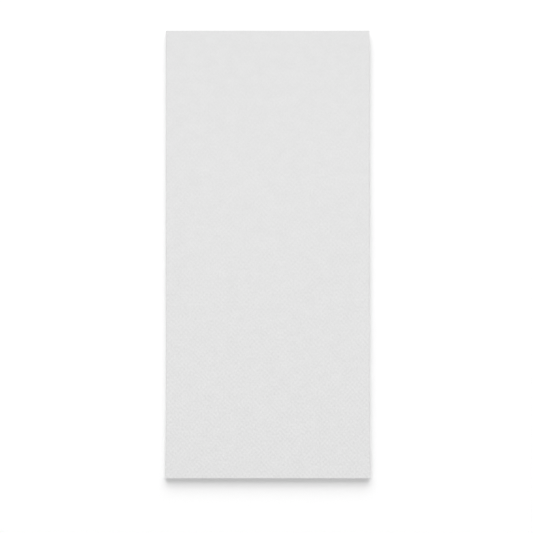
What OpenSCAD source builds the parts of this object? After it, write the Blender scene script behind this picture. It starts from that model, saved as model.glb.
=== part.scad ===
// Paper dinner napkin, folded to an eighth: one sheet of soft two-ply tissue, eight layers thick.
// The sheet is folded in half across, and then in half twice along its length, the same way round.
// It lies flat with its long edges along Y, its end fold at -Y and its open end at +Y.
// The end fold joins the layers in pairs, and each pair turns as one round the long folds.

/* [Folded size] */
// Width across the two folded long edges
folded_w = 98.5; // [80:0.5:130]
// Length from the end fold to the open end
folded_l = 216; // [160:0.5:260]

/* [Tissue] */
// Thickness of the sheet, both plies with their embossing
sheet_t = 0.32; // [0.2:0.02:0.4]
// Air between two layers that lie on each other
layer_gap = 0.1; // [0.06:0.02:0.2]

/* [Free edges] */
// Setback of the nearer free long edges from the folded edge above them
long_edge_back = 0.4; // [0.2:0.1:2]
// How much shorter the inner half of the sheet is, where the end fold missed the middle
inner_half_back = 0.5; // [0:0.1:2]

/* [Hidden] */

LAYERS = 8;
pitch = sheet_t + layer_gap;
stack_t = LAYERS * pitch - layer_gap;
fold_facets = 48;

// Outer radius of the fold that joins two neighbouring layers, and the pair's reach from there
fold_r = (pitch + sheet_t) / 2;
reach = folded_l - fold_r;

// Radii of the long folds, at the middle of the pair that turns
tight_turn = pitch;
wide_turn = 3 * pitch;

// Creep: the pair that turns outside the other spends this much more of its width
creep = PI * (wide_turn - tight_turn);

// Where the long folds are centred, and where the free long edges end
left_x = -folded_w / 2 + stack_t / 2;
right_x = folded_w / 2 - tight_turn - fold_r;
free_x = folded_w / 2 - long_edge_back;

// Two layers cut through lengthwise: the outer half of the sheet at +X, the inner half at -X,
// and the end fold that joins them below y = 0
module pair() {
    translate([(pitch - sheet_t) / 2, 0])
        square([sheet_t, reach]);
    translate([-fold_r, 0])
        square([sheet_t, reach - inner_half_back]);
    difference() {
        circle(r = fold_r, $fn = fold_facets);
        circle(r = fold_r - sheet_t, $fn = fold_facets);
        translate([-fold_r - 1, 0])
            square(2 * fold_r + 2);
    }
}

// A pair laid straight across the napkin from the left folds, its outer half above
module laid_face_up(to_x) {
    translate([to_x, 0, 0])
        rotate([0, -90, 0])
            linear_extrude(height = to_x - left_x)
                pair();
}

// The same with its outer half below
module laid_face_down(to_x) {
    translate([left_x, 0, 0])
        rotate([0, 90, 0])
            linear_extrude(height = to_x - left_x)
                pair();
}

// A pair turned back over itself round an axis along Y, bulging towards -X
module turned(radius) {
    rotate([-90, 90, 0])
        rotate_extrude(angle = 180, $fn = fold_facets)
            translate([radius, 0])
                children();
}

// The two nested long folds on the left; the inner one has the sheet's inner half outside
module left_folds() {
    translate([left_x, 0, 0]) {
        turned(wide_turn)
            pair();
        turned(tight_turn)
            mirror([1, 0])
                pair();
    }
}

// The long fold on the right, which joins the two upper pairs
module right_fold() {
    translate([right_x, 0, 2 * pitch])
        mirror([1, 0, 0])
            turned(tight_turn)
                pair();
}

module napkin() {
    color("white")
        translate([0, fold_r - folded_l / 2, stack_t / 2]) {
            translate([0, 0, 3 * pitch])
                laid_face_up(right_x);
            translate([0, 0, pitch])
                laid_face_down(right_x);
            translate([0, 0, -pitch])
                laid_face_up(free_x);
            translate([0, 0, -3 * pitch])
                laid_face_down(free_x - creep);
            left_folds();
            right_fold();
        }
}

napkin();
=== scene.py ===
"""A white embossed paper napkin, folded to an eighth and lying flat, seen from straight above."""
import math

import bpy
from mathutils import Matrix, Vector, noise
from mathutils.geometry import delaunay_2d_cdt


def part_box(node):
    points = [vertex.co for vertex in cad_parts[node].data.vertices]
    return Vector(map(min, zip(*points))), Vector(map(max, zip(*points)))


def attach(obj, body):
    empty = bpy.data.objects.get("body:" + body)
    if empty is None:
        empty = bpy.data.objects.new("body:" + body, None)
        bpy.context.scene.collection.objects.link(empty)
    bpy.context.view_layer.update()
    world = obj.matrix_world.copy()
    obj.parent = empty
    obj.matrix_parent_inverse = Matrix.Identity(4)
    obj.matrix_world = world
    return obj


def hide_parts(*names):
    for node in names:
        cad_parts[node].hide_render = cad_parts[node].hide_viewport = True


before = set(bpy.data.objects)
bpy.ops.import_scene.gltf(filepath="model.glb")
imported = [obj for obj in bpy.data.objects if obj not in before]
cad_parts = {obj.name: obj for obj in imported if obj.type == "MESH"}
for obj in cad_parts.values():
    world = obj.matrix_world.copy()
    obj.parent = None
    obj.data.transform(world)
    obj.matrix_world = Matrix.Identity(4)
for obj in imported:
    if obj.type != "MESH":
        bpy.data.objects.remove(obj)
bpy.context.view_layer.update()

MM = 0.001
scene = bpy.context.scene

# The folded napkin, from its box in the frame
low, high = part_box("napkin")
FOLDED_L = high[1] - low[1]
STACK = high[2] - low[2]

# The tissue, how its eight layers lie, and how deep its two plies part at the cut edges
TISSUE = 0.32 * MM
AIR = 0.1 * MM
PITCH = TISSUE + AIR
LONG_EDGE_BACK = 0.4 * MM
INNER_HALF_BACK = 0.5 * MM
PLY_GROOVE = 0.06 * MM

# The folds, by the radius of what turns: a pair of layers in the long folds, one in the end fold
WIDE_TURN = 3 * PITCH
TIGHT_TURN = PITCH
END_TURN = PITCH / 2
CREEP = math.pi * (WIDE_TURN - TIGHT_TURN)
left_x = low[0] + STACK / 2
right_x = high[0] - TIGHT_TURN - END_TURN - TISSUE / 2
free_x = high[0] - LONG_EDGE_BACK
fold_y = low[1] + END_TURN + TISSUE / 2

# How square the pressed folds are: 2 is round
CREASE = 4

# Routes are lists of stretches, each a length and a bend, which is one over its radius.
# The section's route follows the middle of a pair of layers, from the lowest free long edges.
SECTION = [
    (free_x - CREEP - left_x, 0),
    (math.pi * WIDE_TURN, -1 / WIDE_TURN),
    (right_x - left_x, 0),
    (math.pi * TIGHT_TURN, -1 / TIGHT_TURN),
    (right_x - left_x, 0),
    (math.pi * TIGHT_TURN, 1 / TIGHT_TURN),
    (free_x - left_x, 0),
]

# The pair's route follows one layer back to the end fold and the other out again
PAIR = [
    (high[1] - INNER_HALF_BACK - fold_y, 0),
    (math.pi * END_TURN, -1 / END_TURN),
    (high[1] - fold_y, 0),
]

# The loose lie: swells as shares of the height, and the slip of one stretch of the sheet along
# another, each with the width and length that it changes over
SWELL = 0.03
SWELL_W, SWELL_L = 45 * MM, 60 * MM
RIPPLE = 0.01
RIPPLE_W, RIPPLE_L = 16 * MM, 20 * MM
SLIP = 0.12 * MM
SLIP_W = 80 * MM

# The open end's lift, as a share of the height, how uneven it is, and how far from the end it starts
OPEN_LIFT = 0.2
LIFT_UNEVEN = 0.4
LIFT_W = 30 * MM
OPEN_END = 60 * MM

# The end fold, pressed lower and spread wider by shares of its size, how far from the end that
# starts, and the share of the width that the rest of the napkin has
CLOSED_PRESS = 0.08
CLOSED_SPREAD = 0.012
CLOSED_END = 45 * MM
MIDDLE_WIDTH = 0.996

# The embossing: dots on the corners and the middle of small cells, a little turned on the sheet
CELL_W = 2.288 * MM
CELL_L = 2.547 * MM
DOT_TURN = math.radians(1.07)
DOT_LIFT = 0.024 * MM
DOT_SLIDE = 0.03 * MM
WORN_DEPTH = 0.15

# Where the dots are in the mesh: how far inside a face's edges they start, and reach full height
DOTS_FROM = 0.3 * MM
DOTS_FULL = 2 * MM

# The mesh: a fine step on the straight, how many of them make a coarse one, the steps round a fold,
# and the angle up to which its faces are shaded as one
FINE = 0.6 * MM
COARSE = 10
FOLD_STEPS = 16
SMOOTH_UP_TO = math.radians(50)

# Places on the flat sheet are rounded to the nanometre, so that equal ones match. The triangulation
# works in millimetres, joins what is as close as that, and fills the sheet out to its edges.
DECIMALS = 9
SAME_PLACE = 1e-6
OUT_TO_EDGES = 0

# The tissue's finish, with painted shading on the embossing's dots and painted shade in the gap between
# the plies at the cut edges
TISSUE_WHITE = 0.741
CLOUD_SHADE = 0.08
FIBRE_SHADE = 0.19
FIBRE_DEPTH = 0.02 * MM
CREPE_DEPTH = 0.02 * MM
DOT_PAINTED_SHADE = 0.016
PLY_GAP_PAINTED_SHADE = 0.45
ROUGHNESS = 0.82
FIBRE_ROUGHNESS = 0.15
SPECULAR = 0.2

# The surface and the light, as radiance
FLOOR_SIZE = 3
FLOOR_WHITE = 0.98
LIGHT_DISTANCE = 6
HIGH_KEY = 2.93
LOW_KEY = 4.42
ROOM_GLOW = 0.572

# The backdrop, white up to the first height and the room's glow from the second one on, where the
# horizon is 0 and overhead is 1
BACKDROP_WHITE = 1.0
WHITE_UP_TO = 0.05
GLOW_FROM = 0.12

# The photo's frame: the napkin's seen edges, in pixels
IMAGE = 533
SEEN_LEFT, SEEN_RIGHT = 165.9, 369.6
SEEN_TOP, SEEN_BOTTOM = 30.8, 478.6
PIXEL = FOLDED_L / (SEEN_BOTTOM - SEEN_TOP)

# The camera's lens and sensor, in millimetres
LENS = 100
SENSOR = 36


def steps(start, end, spacing, multiple=1):
    """Even steps from start to end, both included, about a spacing apart and a multiple in number."""
    count = max(1, round((end - start) / spacing / multiple)) * multiple
    return [round(start + (end - start) * i / count, DECIMALS) for i in range(count + 1)]


def marks_along(route):
    """Coarse marks along a route of stretches, and the fine marks of each straight stretch."""
    coarse, fine = [0.0], []
    for length, bend in route:
        start = coarse[-1]
        if bend:
            coarse += steps(start, start + length, length / FOLD_STEPS)[1:]
        else:
            stretch = steps(start, start + length, FINE, COARSE)
            coarse += stretch[COARSE::COARSE]
            fine.append(stretch)
    return coarse, fine


# Marks on the flat sheet. The outer half of the sheet shows on two straight stretches across: the
# underside, then the upper face. Both have the embossing in the mesh, and finely cut edges.
across, fine_across = marks_along(SECTION)
along, fine_along = marks_along(PAIR)
underside, upper_face = fine_across[0], fine_across[1]
outer_along = fine_along[1]
across_finely = sorted(set(across + underside + upper_face))
along_finely = sorted(set(along + outer_along))


def walk(route, start, distance):
    """The point and heading that a distance along a route of stretches leads to."""
    u, w, heading = start
    for length, bend in route:
        step = min(distance, length)
        if bend:
            turned = heading + step * bend
            u += (math.sin(turned) - math.sin(heading)) / bend
            w += (math.cos(heading) - math.cos(turned)) / bend
            heading = turned
        else:
            u += step * math.cos(heading)
            w += step * math.sin(heading)
        distance -= step
        if distance <= 0:
            break
    return u, w, heading


def creased(away, above):
    """A point of a round fold after the fold is pressed: its turn squarer, its reach the same."""
    reach = math.hypot(away, above)
    if away <= 0:
        return away, above
    square = ((away / reach) ** CREASE + (above / reach) ** CREASE) ** (-1 / CREASE)
    return away * square, above * square


def fold(s, t, lift):
    """The folded place of a point of the flat sheet, lifted off its middle to the outer side."""
    y, out, turn = walk(PAIR, (high[1] - INNER_HALF_BACK, -END_TURN, math.pi), t)
    away, out = creased(fold_y - y + lift * math.sin(turn), out + lift * math.cos(turn))
    lowest_pair = STACK / 2 - WIDE_TURN
    x, z, heading = walk(SECTION, (free_x - CREEP, lowest_pair, math.pi), s)
    x -= out * math.sin(heading)
    z += out * math.cos(heading)
    # The left folds turn round the middle of the stack, the right one round that of its upper half
    if x < left_x:
        away_left, above = creased(left_x - x, z - STACK / 2)
        x, z = left_x - away_left, STACK / 2 + above
    elif s > upper_face[0] and z > STACK / 2:
        right_z = STACK / 2 + WIDE_TURN - TIGHT_TURN
        away_right, above = creased(x - right_x, z - right_z)
        x, z = right_x + away_right, right_z + above
    return Vector((x, fold_y - away, z))


def unevenness(u, v, seed):
    """A smooth random value around zero, which changes over about one either way."""
    return noise.noise(Vector((u, v, seed)))


def settle(place, s):
    """The loose lie of the layers: soft swells, an open end that lifts, a pressed, wider end fold."""
    x, y, z = place
    swell = SWELL * unevenness(x / SWELL_W, y / SWELL_L, seed=1.7)
    ripple = RIPPLE * unevenness(x / RIPPLE_W, y / RIPPLE_L, seed=5.2)
    open_end = max(0, 1 - (high[1] - y) / OPEN_END)
    closed_end = max(0, 1 - (y - low[1]) / CLOSED_END)
    uneven = 1 + LIFT_UNEVEN * unevenness(x / LIFT_W, 0, seed=9.1)
    lift = OPEN_LIFT * open_end * open_end * uneven
    pressed = CLOSED_PRESS * closed_end * closed_end
    slip = SLIP * unevenness(s / SLIP_W, 0, seed=3.3)
    width = MIDDLE_WIDTH + CLOSED_SPREAD * closed_end * closed_end
    return Vector((x * width, y + slip, z * (1 + swell + ripple + lift - pressed)))


def inside(face, s, t):
    """How far inside an embossed face's edges a point of the flat sheet is; negative outside."""
    return min(s - face[0], face[-1] - s, t - outer_along[0], outer_along[-1] - t)


def dot_frame(s, t):
    """A point of the sheet in the embossing's own directions."""
    a = s * math.cos(DOT_TURN) + t * math.sin(DOT_TURN)
    b = t * math.cos(DOT_TURN) - s * math.sin(DOT_TURN)
    return a, b


def dot_points(face, cuts, shift):
    """Points for one face by row and column, a number of cuts to a cell each way, slid uphill."""
    step_a, step_b = CELL_W / cuts, CELL_L / cuts
    corners = [dot_frame(s, t) for s in (face[0], face[-1]) for t in (outer_along[0], outer_along[-1])]
    first_a, last_a = min(a for a, b in corners) // step_a, max(a for a, b in corners) // step_a
    first_b, last_b = min(b for a, b in corners) // step_b, max(b for a, b in corners) // step_b
    points = {}
    for i in range(int(first_a), int(last_a) + 1):
        for j in range(int(first_b), int(last_b) + 1):
            a, b = (i + shift) * step_a, (j + shift) * step_b
            phase_a, phase_b = 2 * math.pi * a / CELL_W, 2 * math.pi * b / CELL_L
            a -= DOT_SLIDE * math.sin(phase_a) * math.cos(phase_b)
            b -= DOT_SLIDE * math.cos(phase_a) * math.sin(phase_b)
            s = a * math.cos(DOT_TURN) - b * math.sin(DOT_TURN)
            t = a * math.sin(DOT_TURN) + b * math.cos(DOT_TURN)
            if inside(face, s, t) > DOTS_FROM:
                points[i, j] = (s, t)
    return points


def upper_points():
    """Four points round each dot of the upper face and, a little wider apart, round each hollow."""
    return list(dot_points(upper_face, 4, 0.5).values())


def underside_points():
    """A point on each dot and in each hollow of the underside, and the cuts from hollow to hollow."""
    points = dot_points(underside, 2, 0)
    number = {key: i for i, key in enumerate(points)}
    hollows = [(i, j) for i, j in points if (i + j) % 2]
    steps_on = [((i, j), (i + 1, j + side)) for i, j in hollows for side in (1, -1)]
    return list(points.values()), [(number[p], number[q]) for p, q in steps_on if q in number]


def dot_share(face, s, t):
    """How much of the embossing the mesh has at a point of a face: all of it well inside."""
    return min(1, max(0, inside(face, s, t) / DOTS_FULL))


def depth_left(t):
    """How deep the relief still is: full at the end fold, and rubbed flatter towards the open end."""
    from_fold = abs(t - outer_along[0]) / (outer_along[-1] - outer_along[0])
    return 1 - (1 - WORN_DEPTH) * min(1, from_fold)


def relief(s, t):
    """How far the embossing lifts the sheet at a point."""
    a, b = dot_frame(s, t)
    dot = math.cos(2 * math.pi * a / CELL_W) * math.cos(2 * math.pi * b / CELL_L)
    return DOT_LIFT * dot * depth_left(t) * max(dot_share(upper_face, s, t), dot_share(underside, s, t))


def rows_of_sheet(open_faces):
    """The lines that the flat sheet is cut along, with its two embossed faces left open or not."""
    rows = []
    edges = (underside[0], underside[-1], upper_face[0], upper_face[-1])
    for s in across:
        column = [(s, t) for t in (along_finely if s in edges else along)]
        if open_faces and (underside[0] < s < underside[-1] or upper_face[0] < s < upper_face[-1]):
            column = [p for p in column if p[1] <= outer_along[0]]
        rows.append(column)
    for t in along:
        row = [(s, t) for s in (across_finely if t in (outer_along[0], outer_along[-1]) else across)]
        if open_faces and outer_along[0] < t < outer_along[-1]:
            rows.append([p for p in row if underside[-1] <= p[0] <= upper_face[0]])
            rows.append([p for p in row if p[0] >= upper_face[-1]])
        else:
            rows.append(row)
    return rows


def cut_flat(rows, points, cuts):
    """The flat sheet in triangles that keep to its rows; also which of them each row point became."""
    rank, held = {}, []
    for row in rows:
        for point in row:
            rank.setdefault(point, len(rank))
        held += [(rank[a], rank[b]) for a, b in zip(row, row[1:])]
    held += [(len(rank) + a, len(rank) + b) for a, b in cuts]
    flat = [Vector(p) / MM for p in list(rank) + points]
    places, _, faces, origin, _, _ = delaunay_2d_cdt(flat, held, [], OUT_TO_EDGES, SAME_PLACE)
    became = {old: new for new, olds in enumerate(origin) for old in olds}
    row_points = {point: became[i] for point, i in rank.items()}
    return [(p.x * MM, p.y * MM) for p in places], [tuple(f) for f in faces], row_points


def cut_edge():
    """The points round the flat sheet's four edges in turn."""
    return (
        [(s, along[0]) for s in across]
        + [(across[-1], t) for t in along[1:]]
        + [(s, along[-1]) for s in across_finely[-2::-1]]
        + [(across[0], t) for t in along_finely[-2:0:-1]]
    )


def between_plies(s, t):
    """A point of the cut edge, drawn in where the two plies part."""
    s = min(max(s, PLY_GROOVE), across[-1] - PLY_GROOVE)
    t = min(max(t, PLY_GROOVE), along[-1] - PLY_GROOVE)
    return s, t


def folded_sheet():
    """The napkin's one sheet: its two sides cut flat, joined round its edge, and folded up."""
    below, hollow_cuts = underside_points()
    outer, outer_faces, outer_rank = cut_flat(rows_of_sheet(True), below + upper_points(), hollow_cuts)
    inner, inner_faces, inner_rank = cut_flat(rows_of_sheet(False), [], [])
    ring = cut_edge()
    groove = [between_plies(s, t) for s, t in ring]
    places = [settle(fold(s, t, TISSUE / 2 + relief(s, t)), s) for s, t in outer]
    places += [settle(fold(s, t, -TISSUE / 2), s) for s, t in inner]
    places += [settle(fold(s, t, 0), s) for s, t in groove]

    from_inner = len(outer)
    from_groove = from_inner + len(inner)
    faces = outer_faces + [tuple(from_inner + i for i in reversed(f)) for f in inner_faces]
    for i, point in enumerate(ring):
        j = (i + 1) % len(ring)
        outer_i, outer_j = outer_rank[point], outer_rank[ring[j]]
        inner_i, inner_j = from_inner + inner_rank[point], from_inner + inner_rank[ring[j]]
        faces.append((outer_j, outer_i, from_groove + i, from_groove + j))
        faces.append((from_groove + j, from_groove + i, inner_i, inner_j))

    mesh = bpy.data.meshes.new("napkin_sheet")
    mesh.from_pydata(places, [], faces)
    flat_map = mesh.uv_layers.new(name="flat_sheet")
    flat = outer + inner + groove
    for loop in mesh.loops:
        flat_map.data[loop.index].uv = flat[loop.vertex_index]
    in_mesh = mesh.attributes.new("dots_in_mesh", "FLOAT", "POINT")
    depth = mesh.attributes.new("depth_left", "FLOAT", "POINT")
    # Marks where the two plies part at the cut edges, where the colour gets painted shade of the gap
    # between them
    ply_gap_shade = mesh.attributes.new("ply_gap_painted_shade", "FLOAT", "POINT")
    # The underside's dots have one point each in the mesh, so it keeps the material's dots as well
    for i, (s, t) in enumerate(flat):
        in_mesh.data[i].value = dot_share(upper_face, s, t) if i < from_inner else 0
        depth.data[i].value = depth_left(t)
        ply_gap_shade.data[i].value = 1 if i >= from_groove else 0
    sheet = bpy.data.objects.new("napkin_sheet", mesh)
    scene.collection.objects.link(sheet)
    bpy.ops.object.select_all(action="DESELECT")
    sheet.select_set(True)
    bpy.context.view_layer.objects.active = sheet
    bpy.ops.object.shade_smooth_by_angle(angle=SMOOTH_UP_TO)
    return sheet


def tissue_paper():
    """White, matt and soft: crepe, fibres, and the embossing that the mesh lacks or has coarsely. Its
    colour has painted shading on the embossing's dots and painted shade in the gap between the plies at
    the cut edges.
    """
    material = bpy.data.materials.new("white_tissue")
    material.use_nodes = True
    nodes, links = material.node_tree.nodes, material.node_tree.links
    shader = nodes["Principled BSDF"]
    shader.inputs["Specular IOR Level"].default_value = SPECULAR

    def math_node(operation, *values):
        node = nodes.new("ShaderNodeMath")
        node.operation = operation
        for socket, value in zip(node.inputs, values):
            if isinstance(value, (int, float)):
                socket.default_value = value
            else:
                links.new(value, socket)
        return node.outputs[0]

    def attribute(name):
        node = nodes.new("ShaderNodeAttribute")
        node.attribute_name = name
        return node.outputs["Fac"]

    def grain(place, scale, stretch, detail, roughness):
        stretched = nodes.new("ShaderNodeMapping")
        stretched.inputs["Scale"].default_value = (stretch[0] / MM, stretch[1] / MM, 1)
        links.new(place, stretched.inputs["Vector"])
        texture = nodes.new("ShaderNodeTexNoise")
        texture.inputs["Scale"].default_value = scale
        texture.inputs["Detail"].default_value = detail
        texture.inputs["Roughness"].default_value = roughness
        links.new(stretched.outputs["Vector"], texture.inputs["Vector"])
        return texture.outputs["Fac"]

    def bump(height, distance, normal):
        node = nodes.new("ShaderNodeBump")
        node.inputs["Distance"].default_value = distance
        links.new(height, node.inputs["Height"])
        if normal:
            links.new(normal, node.inputs["Normal"])
        return node.outputs["Normal"]

    flat_place = nodes.new("ShaderNodeUVMap")
    flat_place.uv_map = "flat_sheet"
    place = flat_place.outputs["UV"]

    turned = nodes.new("ShaderNodeVectorRotate")
    turned.rotation_type = "Z_AXIS"
    turned.inputs["Angle"].default_value = -DOT_TURN
    links.new(place, turned.inputs["Vector"])
    dot_place = nodes.new("ShaderNodeSeparateXYZ")
    links.new(turned.outputs["Vector"], dot_place.inputs["Vector"])
    wave_w = math_node("COSINE", math_node("MULTIPLY", dot_place.outputs["X"], 2 * math.pi / CELL_W))
    wave_l = math_node("COSINE", math_node("MULTIPLY", dot_place.outputs["Y"], 2 * math.pi / CELL_L))
    dot = math_node("MULTIPLY", wave_w, wave_l)
    depth = attribute("depth_left")
    dots_left = math_node("MULTIPLY", dot, math_node("SUBTRACT", 1, attribute("dots_in_mesh")))

    clouds = grain(place, scale=0.16, stretch=(1, 1), detail=5, roughness=0.75)
    fibres = grain(place, scale=1.1, stretch=(1, 0.8), detail=4, roughness=0.6)
    crepe = grain(place, scale=1.0, stretch=(0.7, 3.2), detail=3, roughness=0.6)

    shade = math_node("MULTIPLY_ADD", clouds, CLOUD_SHADE, TISSUE_WHITE - CLOUD_SHADE / 2)
    fibre_depth = math_node("MULTIPLY_ADD", depth, FIBRE_SHADE, FIBRE_SHADE * WORN_DEPTH)
    shade = math_node("MULTIPLY_ADD", math_node("SUBTRACT", fibres, 0.5), fibre_depth, shade)
    # Painted shading of the embossing: the dots are painted lighter and the hollows darker, as light on
    # the relief would make them
    shade = math_node("MULTIPLY_ADD", dot, math_node("MULTIPLY", depth, DOT_PAINTED_SHADE), shade)
    # Painted shade in the gap between the two plies along the cut edges
    shade = math_node("MULTIPLY_ADD", attribute("ply_gap_painted_shade"), -PLY_GAP_PAINTED_SHADE, shade)
    colour = nodes.new("ShaderNodeCombineColor")
    for channel in ("Red", "Green", "Blue"):
        links.new(shade, colour.inputs[channel])
    links.new(colour.outputs["Color"], shader.inputs["Base Color"])
    roughness = math_node("MULTIPLY_ADD", fibres, FIBRE_ROUGHNESS, ROUGHNESS)
    links.new(roughness, shader.inputs["Roughness"])

    normal = bump(math_node("MULTIPLY", dots_left, depth), DOT_LIFT, None)
    normal = bump(math_node("MULTIPLY", crepe, depth), CREPE_DEPTH, normal)
    normal = bump(math_node("MULTIPLY", fibres, depth), FIBRE_DEPTH, normal)
    links.new(normal, shader.inputs["Normal"])
    return material


def surface_below():
    """The plain white surface that the napkin lies on."""
    bpy.ops.mesh.primitive_plane_add(size=FLOOR_SIZE, location=(0, 0, 0))
    floor = bpy.context.object
    floor.name = "floor"
    material = bpy.data.materials.new("white_surface")
    material.use_nodes = True
    shader = material.node_tree.nodes["Principled BSDF"]
    shader.inputs["Base Color"].default_value = (FLOOR_WHITE, FLOOR_WHITE, FLOOR_WHITE, 1)
    shader.inputs["Roughness"].default_value = 1.0
    shader.inputs["Specular IOR Level"].default_value = 0.0
    floor.data.materials.append(material)


def camera_above():
    """The camera, looking straight down, with the napkin where the photo has it."""
    data = bpy.data.cameras.new("camera")
    data.lens = LENS
    data.sensor_width = SENSOR
    camera = bpy.data.objects.new("camera", data)
    scene.collection.objects.link(camera)
    x = (IMAGE / 2 - (SEEN_LEFT + SEEN_RIGHT) / 2) * PIXEL
    y = ((SEEN_TOP + SEEN_BOTTOM) / 2 - IMAGE / 2) * PIXEL
    camera.location = (x, y, STACK + IMAGE * PIXEL * LENS / SENSOR)
    scene.camera = camera


def softbox(name, tilt, width, height, radiance):
    """A flat light of even radiance beyond the open end, tilted from overhead by so many degrees."""
    data = bpy.data.lights.new(name, "AREA")
    data.shape = "RECTANGLE"
    data.size, data.size_y = width, height
    data.energy = radiance * math.pi * width * height
    light = bpy.data.objects.new(name, data)
    scene.collection.objects.link(light)
    tilt = math.radians(tilt)
    out = Vector((0, math.sin(tilt), math.cos(tilt)))
    light.location = out * LIGHT_DISTANCE
    light.rotation_euler = out.to_track_quat("Z", "Y").to_euler()


def studio_light():
    """Two wide soft lights beyond the open end, one above the other, and a glow all round."""
    softbox("high_key", tilt=45, width=6, height=3, radiance=HIGH_KEY)
    softbox("low_key", tilt=66, width=7, height=2.2, radiance=LOW_KEY)
    world = bpy.data.worlds.new("studio")
    scene.world = world
    world.use_nodes = True
    nodes, links = world.node_tree.nodes, world.node_tree.links
    direction = nodes.new("ShaderNodeTexCoord")
    height = nodes.new("ShaderNodeSeparateXYZ")
    glow = nodes.new("ShaderNodeMapRange")
    glow.inputs["From Min"].default_value = WHITE_UP_TO
    glow.inputs["From Max"].default_value = GLOW_FROM
    glow.inputs["To Min"].default_value = BACKDROP_WHITE
    glow.inputs["To Max"].default_value = ROOM_GLOW
    links.new(direction.outputs["Generated"], height.inputs["Vector"])
    links.new(height.outputs["Z"], glow.inputs["Value"])
    links.new(glow.outputs["Result"], nodes["Background"].inputs["Strength"])
    nodes["Background"].inputs["Color"].default_value = (1, 1, 1, 1)


camera_above()
studio_light()
surface_below()
napkin = folded_sheet()
napkin.data.materials.append(tissue_paper())
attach(napkin, "root")
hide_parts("napkin")

scene.view_settings.view_transform = "Standard"
